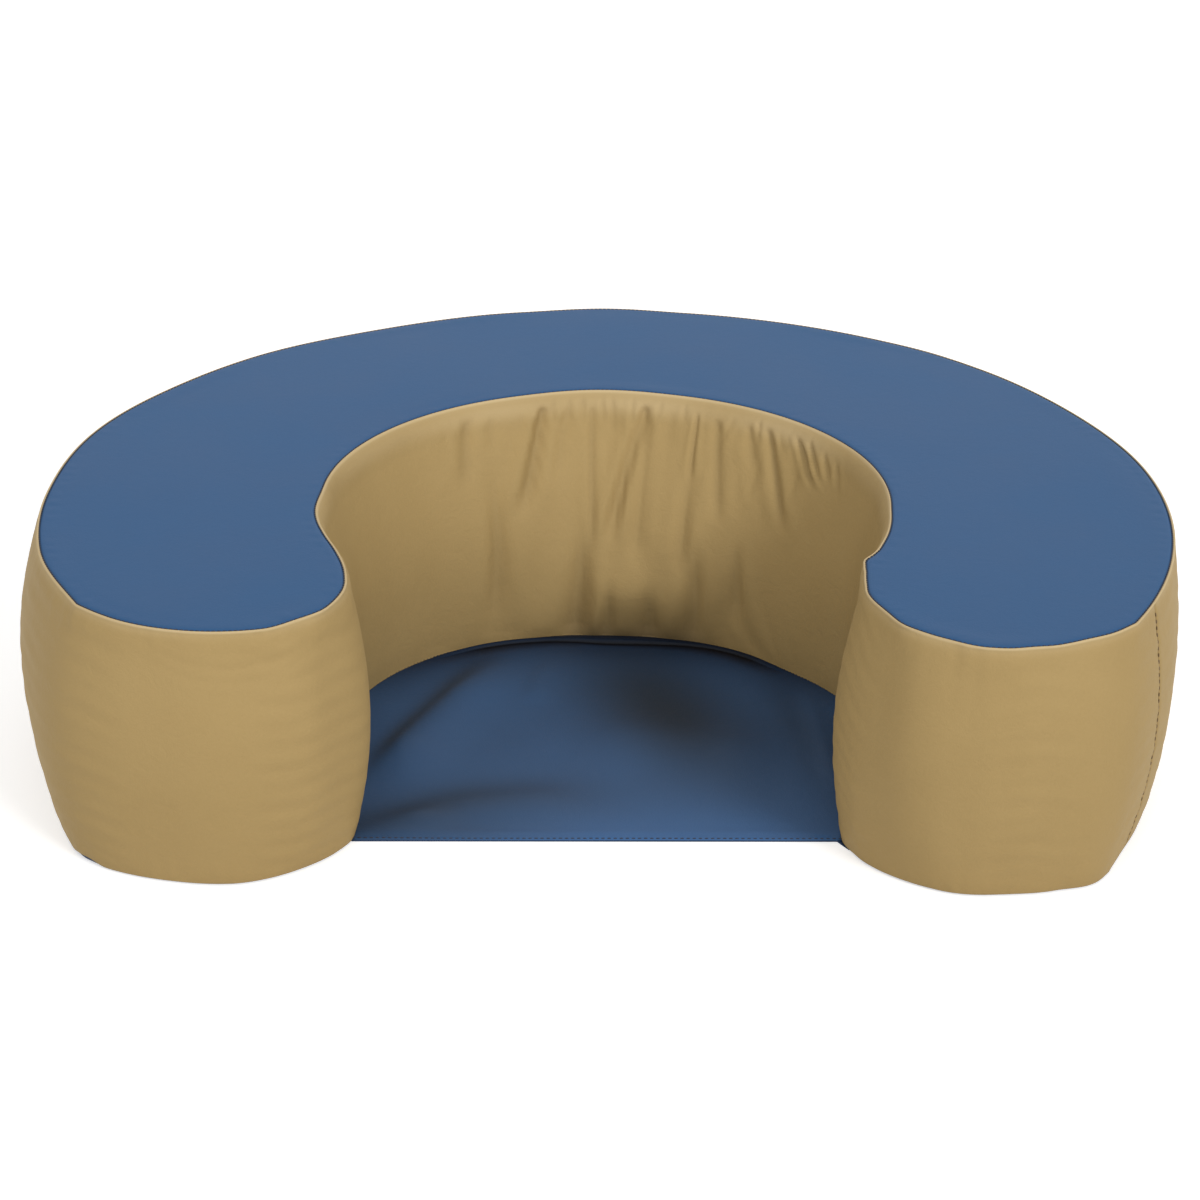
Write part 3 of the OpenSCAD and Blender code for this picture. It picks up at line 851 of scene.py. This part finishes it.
# ---- the walls
stuffed = simulate_wall(S_ZIP_TO, ROUND)
front_s = gathered_steps(S_ZIP_TO, ROUND, *FRONT_STEPS)
make_wall("front_wall", "front_band", front_s, 0, HEIGHT, FRONT_RISE, moved=stuffed)
make_wall("side_wall", "side_band", steps(0, S_ZIP_FROM, PLAIN_STEP), 0, HEIGHT)
zip_s = steps(S_ZIP_FROM, S_ZIP_TO, PLAIN_STEP)
make_wall("zip_wall_upper", "zip_band_upper", zip_s, ZIP_Z + ZIP_SLOT / 2, HEIGHT, foot="fold")
make_wall("zip_wall_lower", "zip_band_lower", zip_s, 0, ZIP_Z - ZIP_SLOT / 2, head="fold")

# ---- the foam
FOAM_IN, FOAM_STEP, FOAM_LEVELS, FOAM_END = 7.5, 6.0, 34, 2.2
GROOVE_IN, GROOVE_HALF, GROOVE_PAST = 5.0, 19.0, 12.0


def foam_block():
    s = steps(0, ROUND, FOAM_STEP)[:-1]
    z = np.linspace(FOAM_END, HEIGHT - FOAM_END, FOAM_LEVELS)
    behind = (s > S_ZIP_FROM - GROOVE_PAST) & (s < S_ZIP_TO + GROOVE_PAST)
    groove = np.where(behind[:, None] & (np.abs(z - ZIP_Z) < GROOVE_HALF)[None, :], GROOVE_IN, 0.0)
    skin = wall_points(s[:, None], z[None, :], -groove - FOAM_IN)
    obj = grid_object("foam_block", skin, closed=True)
    for ring, upward in ((skin[:, 0], False), (skin[:, -1], True)):
        fill, triangles = fill_ring(ring[:, :2], 22.0, 8.0)
        cap = [(p[0], p[1], ring[0, 2]) for p in fill]
        faces = facing_up(cap, triangles)
        add_faces(obj, cap, faces if upward else [f[::-1] for f in faces])
    weld(obj, 1e-5)
    finish_piece(obj, FOAM, "foam", "foam_core", fill=1.0)


foam_block()

# ---- top and base panels
# A panel's edge at its seam, as inset and depth, and how far puckers draw the top in further on
PANEL_EDGE = [(0.9, 3.0), (0.5, 2.1), (0.45, 1.4), (0.95, 0.75), (1.9, 0.3), (3.4, 0.05)]
PUCKERS = [(5.5, 0.12), (8.5, 0.07), (11.5, 0.03), (15.0, 0.0)]
BASE_INSETS = (5.0, 7.0)
ring_s = steps(0, ROUND, 3.5)[:-1]
base_lean = on_run(LEANS, ring_s) + foot_stray(ring_s)


def top_ring(inset, z):
    """The seam's plan drawn in by inset, and smoother the further in it lies."""
    f = min(1.0, inset / 14)
    out = unit((1 - f) * on_run(OUT_SEAM, ring_s) + f * on_run(OUT_WIDE, ring_s))
    p = (1 - f) * on_run(PLAN, ring_s) + f * on_run(SOFT_PLAN, ring_s) - out * inset
    return np.column_stack([p, z + 0 * ring_s])


def base_ring(inset, z):
    p = on_run(PLAN, ring_s) + on_run(OUT_SEAM, ring_s) * (base_lean - inset)[:, None]
    return np.column_stack([p, z * (1 + swells(ring_s, FOOT_LIFT) / 3)])


def top_height(p):
    return HEIGHT + 0.25 * np.sin(p[:, 0] / 61.0 + 1.1) * np.sin(p[:, 1] / 47.0 + 0.4)


top_rings = [top_ring(inset, HEIGHT - depth) for inset, depth in PANEL_EDGE]
top_rings += [top_ring(inset, HEIGHT + pull * seam_wave(ring_s + 13)) for inset, pull in PUCKERS]
top = panel("top_cover", top_rings, 9.0, top_height)
finish_piece(top, BLUE, "blue_vinyl", "top_panel", fill=1.0)

base_rings = [base_ring(inset, height) for inset, height in PANEL_EDGE]
base_rings += [base_ring(inset, 0.0) for inset in BASE_INSETS]
base = panel("base_cover", base_rings, 14.0, lambda p: np.zeros(len(p)), upward=False)
finish_piece(base, NAVY, "navy_vinyl", "base_panel", fill=1.0)

# ---- the floor of the seat
HEM_L, HEM_R = np.array([-190.0, -186.0]), np.array([190.0, -174.5])
FLOOR_Z, HEM_Z, LINING_Z, LOWEST_Z = 2.2, 1.9, 0.9, 1.45
LINING_TAB = 12.0  # the lining shows a little ahead of the hem by the right arm
# Low folds of the floor: from, to, height, and half-width on their left and right sides
RIDGES = [
    ((-180, -112), (-84, 108), 10, 15, 34),
    ((-190, -194), (-106, -136), 5, 16, 24),
    ((-136, -144), (-6, -116), 3, 19, 26),
    ((160, 86), (180, -124), 5, 18, 9),
    ((-60, 20), (-46, 108), 2, 9, 16),
    ((146, -52), (-34, -26), 6, 60, 40),
]
# Patches of painted shade with some grime, the right arm's cast shadow among them: from, to, half-width
# and share
SHADE_AND_GRIME_PATCHES = [
    ((10, 130), (58, -26), 56, 0.62),
    ((40, 50), (76, -62), 42, 0.52),
    ((-40, 130), (92, 130), 22, 0.5),
    ((-92, 128), (-134, 30), 14, 0.44),
    ((-114, 60), (-188, -104), 13, 0.4),
    ((-196, -178), (-92, -120), 22, 0.5),
    ((-130, -134), (-4, -114), 28, 0.4),
    ((-200, -180), (-60, -164), 28, 0.44),
    ((136, 92), (176, -96), 20, 0.42),
    ((84, 30), (146, -66), 44, 0.18),
]
ALL_OVER_DARKENING = 0.38
# Rows of points along the foot of the wall, as shares of the way to the crease
CREASE_ROWS = (0.16, 0.34, 0.53, 0.68, 0.82, 0.93, 1.0, 1.09, 1.2, 1.36)
CREASE_ROWS_REACH = 19.0


def ahead_of_hem(p):
    f = (p[:, 0] - HEM_L[0]) / (HEM_R[0] - HEM_L[0])
    return p[:, 1] - (HEM_L[1] + (HEM_R[1] - HEM_L[1]) * f)


def by_line(p, start, end):
    """How far plan points lie along the line from start, how far to its left, and its length."""
    start, end = np.array(start, float), np.array(end, float)
    long = norm(end - start)
    on = (end - start) / long
    return (p - start) @ on, (p - start) @ np.array([-on[1], on[0]]), long


def crease_at(p):
    """How far from the wall's foot the crease runs that its joint with the floor makes."""
    return 5.2 + 8.3 * bell(direction_of(p) - 86, 21)


def rolled_up(p):
    """1 where the floor's edge rolls up against the foot of the backrest, 0 by the arms."""
    a = direction_of(p)
    return ramp(a, 30, 44) * ramp(a, 145, 129)


def floor_height(p, wall):
    """Height of the floor at plan points p that lie the distances wall from the wall's foot."""
    z = 0.6 * np.sin(p[:, 0] / 37 + 0.6) * np.sin(p[:, 1] / 31 + 1.0)
    for start, end, height, left, right in RIDGES:
        on, off, long = by_line(p, start, end)
        fade = eased(ramp(on / long, 0, 0.3) * ramp(on / long, 1, 0.65))
        z = z + height * fade * bell(off, np.where(off > 0, left, right))
    z = FLOOR_Z + z * (0.35 + 0.65 * limited(wall / 45))
    line = crease_at(p)
    x = limited(wall / line)
    roll = line / 4.2 * (x * (1 - x**5)) ** 0.7 + 0.8 * limited(1 - wall / 5)
    z = z + rolled_up(p) * (roll - 2.2 * bell(wall - line - 0.6, 2.0))
    hem = ahead_of_hem(p)
    z = HEM_Z + (z - HEM_Z) * limited(hem / 34) ** 0.7
    return np.maximum(z + 0.5 * bell(hem - 9, 4), LOWEST_Z)


def mark_floor(obj, p, wall):
    """Keeps on the mesh where shade is painted on the floor, with some grime, where it is painted dark
    before the wall, and the painted shadow in its crease.
    """
    # Painted shade with some grime: darker from the hem inwards, and in patches such as the right arm's
    # cast shadow
    shade_and_grime = ALL_OVER_DARKENING * (1 - np.exp(-np.maximum(ahead_of_hem(p), 0) / 38))
    for start, end, across, share in SHADE_AND_GRIME_PATCHES:
        on, off, long = by_line(p, start, end)
        past = (on - long / 2) / (long / 2 + 0.6 * across)
        shade_and_grime = 1 - (1 - shade_and_grime) * (1 - share * bell(off, across) * bell(past, 1))
    put_values(obj, "shade_and_grime", shade_and_grime)
    shade = 0.97 * np.clip(p[:, 1] / 100, 0.2, 1) * np.exp(-((wall / 40) ** 1.5))
    put_values(obj, "shade", shade)
    # Painted shadow: a near-black line along the crease, and darker floor right at the wall's foot,
    # except by the left arm
    thick = 2.6 + 2.2 * ramp(p[:, 0], -90, 50)
    line = bell(wall - crease_at(p) - 0.6, thick)
    dark = 0.55 * np.exp(-((wall / 16) ** 4)) * ramp(p[:, 0], -130, -30)
    put_values(obj, "crease", rolled_up(p) * np.maximum(dark, line))


def floor_outline(tab):
    """Runs and plan of the foot of the wall from hem to hem, and up to tab ahead of it by the right
    arm."""
    s = steps(S_CORNER_L + 20, S_CORNER_R - 20, 0.5)
    foot = foot_line(s)
    within = (ahead_of_hem(foot) > np.where(s > S_BACK, -tab, 0)) & (np.abs(foot[:, 0]) < 230)
    s = steps(*s[within][[0, -1]], 3.0)
    return s, foot_line(s)


def hem_between(left_x, right_x):
    """Points of the hem from right to left."""
    f = (np.array([left_x, right_x]) - HEM_L[0]) / (HEM_R[0] - HEM_L[0])
    start, end = HEM_L + (HEM_R - HEM_L) * f[:, None]
    return np.linspace(end, start, int(norm(end - start) / 4))


def seat_floor():
    s, foot = floor_outline(tab=0)
    ring = np.vstack([foot, hem_between(foot[0, 0], foot[-1, 0])])
    into = on_run(OUT_SEAM, s) * crease_at(foot)[:, None]
    rows = [foot] + [foot + into * share for share in CREASE_ROWS]
    fill, triangles = fill_ring(ring, 3.6, 1.6, rows, CREASE_ROWS_REACH)
    wall = distance_to(fill, foot)
    points = np.column_stack([fill, floor_height(fill, wall)])
    obj = new_object("seat_floor", points, facing_up(points, triangles))
    mark_floor(obj, fill, wall)
    return finish_piece(thicken(obj, PLY_T), FLOOR_BLUE, "blue_vinyl", "floor_upper_ply")


def seat_floor_lining():
    foot = floor_outline(tab=LINING_TAB)[1]
    ring = np.vstack([foot, hem_between(foot[0, 0], foot[-5, 0] - 4.0)])
    fill, triangles = fill_ring(ring, 8.0, 1.6)
    points = np.column_stack([fill, np.full(len(fill), LINING_Z)])
    obj = new_object("seat_floor_lining", points, facing_up(points, triangles))
    return finish_piece(thicken(obj, PLY_T), NAVY, "navy_vinyl", "floor_lower_ply")


for ply in (seat_floor(), seat_floor_lining()):
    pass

# ---- thread
# A stitch's cross-sections: place along it and size, as shares of its length and thickness
LENS = [(-0.36, 0.75), (0.0, 1.0), (0.36, 0.75)]
SIDES = 6


def stitches(name, at, along, out, size, material, slot):
    """Closed lens-shaped stitches that lie at the given points, one piece in all. size is their
    length, width and height."""
    length, width, height = size
    along, out = unit(np.asarray(along, float)), unit(np.asarray(out, float))
    side = np.cross(along, out)
    turn = np.radians(np.arange(0, 360, 360 / SIDES))
    rings = [at[:, None] - 0.5 * length * along[:, None]]
    for u, r in LENS:
        flat = 0.5 * width * r * np.cos(turn)[None, :, None] * side[:, None]
        tall = 0.5 * height * r * np.sin(turn)[None, :, None] * out[:, None]
        rings.append(at[:, None] + u * length * along[:, None] + flat + tall)
    rings.append(at[:, None] + 0.5 * length * along[:, None])
    points = np.concatenate(rings, axis=1)
    last = 1 + len(LENS) * SIDES
    following = [(i + 1) % SIDES for i in range(SIDES)]
    one = [(0, 1 + j, 1 + i) for i, j in enumerate(following)]
    one += [(last - SIDES + i, last - SIDES + j, last) for i, j in enumerate(following)]
    for r in range(1, last - SIDES, SIDES):
        one += [(r + i, r + j, r + SIDES + j, r + SIDES + i) for i, j in enumerate(following)]
    faces = [tuple((last + 1) * k + i for i in f) for k in range(len(at)) for f in one]
    finish_piece(new_object(name, points.reshape(-1, 3), faces), material, slot)


def tangent(s):
    return level(on_run(PLAN, s + 1) - on_run(PLAN, s - 1))


def top_and_base_thread():
    s = steps(0, ROUND, 3.7)[:-1]
    at = level(on_run(PLAN, s) - on_run(OUT_SEAM, s) * 0.35) + [0, 0, HEIGHT - 0.6]
    up = level(on_run(OUT_SEAM, s)) + [0, 0, 1.6]
    stitches("top_seam_thread", at, tangent(s), up, (3.1, 1.3, 1.0), NAVY_THREAD, "navy_vinyl")
    s = steps(S_CORNER_L + 60, S_CORNER_R - 60, 3.9)
    at = level(foot_line(s)) + upright(2.6 + swells(s, FOOT_LIFT))
    out = level(on_run(OUT_SEAM, s))
    stitches("base_seam_thread", at, tangent(s), out, (2.6, 0.9, 0.9), NAVY_THREAD, "navy_vinyl")


def upright_thread(name, s0):
    """The thread of a seam that runs up the wall at the run s0."""
    z = np.arange(8, HEIGHT - 5, 5.0)
    at, above, below = (wall_points(np.full(len(z), s0), z + dz, -0.75) for dz in (0, 1, -1))
    out = level(np.repeat(on_run(OUT_SOFT, [s0]), len(z), axis=0))
    stitches(name, at, above - below, out, (3.2, 1.5, 1.2), TAN_THREAD, "tan_vinyl")


def zip_topstitch(name, height):
    s = steps(S_ZIP_FROM + 6, S_ZIP_TO - 6, 4.4)
    z = np.full(len(s), height)
    at = wall_points(s, z, slack_of(s, z) - 0.05)
    out = level(on_run(OUT_SOFT, s))
    stitches(name, at, tangent(s), out, (3.0, 0.8, 0.6), TAN_THREAD, "tan_vinyl")


def hem_thread():
    x = np.arange(HEM_L[0] + 8, HEM_R[0] - 8, 4.4)
    at = np.column_stack([x, np.interp(x, [HEM_L[0], HEM_R[0]], [HEM_L[1], HEM_R[1]]) + 1.5])
    far_from_wall = np.full(len(x), 99.0)
    at = np.column_stack([at, floor_height(at, far_from_wall) - 0.05])
    along, up = (np.tile(v, (len(x), 1)) for v in ([*(HEM_R - HEM_L), 0], [0, 0, 1.0]))
    stitches("hem_thread", at, along, up, (3.0, 1.5, 1.0), NAVY_THREAD, "navy_vinyl")


top_and_base_thread()
upright_thread("closing_seam_thread", 0.0)
upright_thread("zip_start_thread", S_ZIP_FROM)
upright_thread("zip_end_thread", S_ZIP_TO)
zip_topstitch("zip_upper_topstitch", ZIP_Z + 11.5)
zip_topstitch("zip_lower_topstitch", ZIP_Z - 11.5)
hem_thread()

# ---- the tapes of the zip
TAPE_PAST = 1.0  # how far the tapes run on past the zip at each end
TAPE_COLUMNS, TAPE_ROWS = 330, 9


def tape(name, node_name):
    """A woven tape in its CAD solid's place, with a slight waviness."""
    low, high = (np.array(c) * 1000 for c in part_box(node_name))
    r, past = high[1] - 0.3, math.degrees(TAPE_PAST / SEAM_R)
    a = np.radians(np.linspace(ZIP_FROM_A - past, ZIP_TO_A + past, TAPE_COLUMNS))
    z = np.linspace(low[2] + 0.05, high[2] - 0.05, TAPE_ROWS)
    bow = r + 0.06 * np.sin(a[:, None] * 90) * np.sin(z[None, :] * 2)
    points = np.stack([bow * np.cos(a)[:, None], bow * np.sin(a)[:, None], z + 0 * bow], axis=-1)
    obj = grid_object(name, points)
    put_values(thicken(obj, TAPE_T, offset=0), "run", np.repeat(a * r, len(z)))
    finish_piece(obj, TAPE, "zip_tape", node_name)


tape("zip_tape_upper_cloth", "zip_tape_upper")
tape("zip_tape_lower_cloth", "zip_tape_lower")

# ---- CAD nodes that stay
for material, names in (
    (TEETH, ("zip_teeth_upper", "zip_teeth_lower")),
    (METAL, ("zip_top_stops", "zip_bottom_stop", "zip_slider", "zip_pull")),
):
    for name in names:
        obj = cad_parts[name]
        if not obj.material_slots:
            obj.data.materials.append(material)
        for slot in obj.material_slots:
            slot.material = material

# ---- studio
FLOOR_HALF, FLOOR_GREY, FLOOR_GLOW = 6000.0, 0.77, 0.5
WORLD_LIGHT = 0.365
# Lamps: direction, how much each adds to a white surface that faces it, and its width in degrees
LAMPS = {
    "key": ((0.58, -0.62, 0.53), 0.465, 17),
    "fill": ((-0.47, -0.71, 0.53), 0.255, 50),
    "overhead": ((0.1, -0.3, 0.95), 0.14, 60),
    "back": ((0.15, 0.93, 0.33), 0.20, 60),
}


def seen_directly(tree):
    """1 for what the camera or a reflection sees, 0 for the light that falls on the object."""
    path = node(tree, "LightPath")
    seen = node(tree, "Math", operation="MAXIMUM")
    tree.links.new(path.outputs["Is Camera Ray"], seen.inputs[0])
    tree.links.new(path.outputs["Is Glossy Ray"], seen.inputs[1])
    return seen.outputs[0]


def studio_floor():
    h = FLOOR_HALF
    corners = [(-h, -h, 0), (h, -h, 0), (h, h, 0), (-h, h, 0)]
    obj = new_object("studio_floor", corners, [(0, 1, 2, 3)])
    material = bpy.data.materials.new("studio_floor")
    material.use_nodes = True
    tree = material.node_tree
    tree.nodes.clear()
    link = tree.links.new
    diffuse = node(tree, "BsdfDiffuse", Color=(FLOOR_GREY, FLOOR_GREY, FLOOR_GREY, 1))
    glow = node(tree, "Emission", Color=(1, 1, 1, 1), Strength=FLOOR_GLOW)
    lit = node(tree, "AddShader")
    link(diffuse.outputs[0], lit.inputs[0])
    link(glow.outputs[0], lit.inputs[1])
    mix = node(tree, "MixShader")
    link(seen_directly(tree), mix.inputs[0])
    link(diffuse.outputs[0], mix.inputs[1])
    link(lit.outputs[0], mix.inputs[2])
    link(mix.outputs[0], node(tree, "OutputMaterial").inputs["Surface"])
    obj.data.materials.append(material)


def studio_world():
    world = bpy.data.worlds.new("studio")
    SCENE.world = world
    world.use_nodes = True
    tree = world.node_tree
    background = tree.nodes["Background"]
    background.inputs["Color"].default_value = (1, 1, 1, 1)
    strength = node(tree, "MapRange", To_Min=WORLD_LIGHT, To_Max=1.0)
    tree.links.new(seen_directly(tree), strength.inputs["Value"])
    tree.links.new(strength.outputs["Result"], background.inputs["Strength"])


def lamp(name, towards, brightness, spread):
    data = bpy.data.lights.new(name, "SUN")
    data.energy = math.pi * brightness
    data.angle = math.radians(spread)
    light = add_object(name, data)
    light.rotation_euler = Vector(towards).to_track_quat("Z", "Y").to_euler()
    light.location = 3 * Vector(towards)


studio_floor()
studio_world()
for lamp_name, settings in LAMPS.items():
    lamp(lamp_name, *settings)
SCENE.view_settings.view_transform = "Standard"
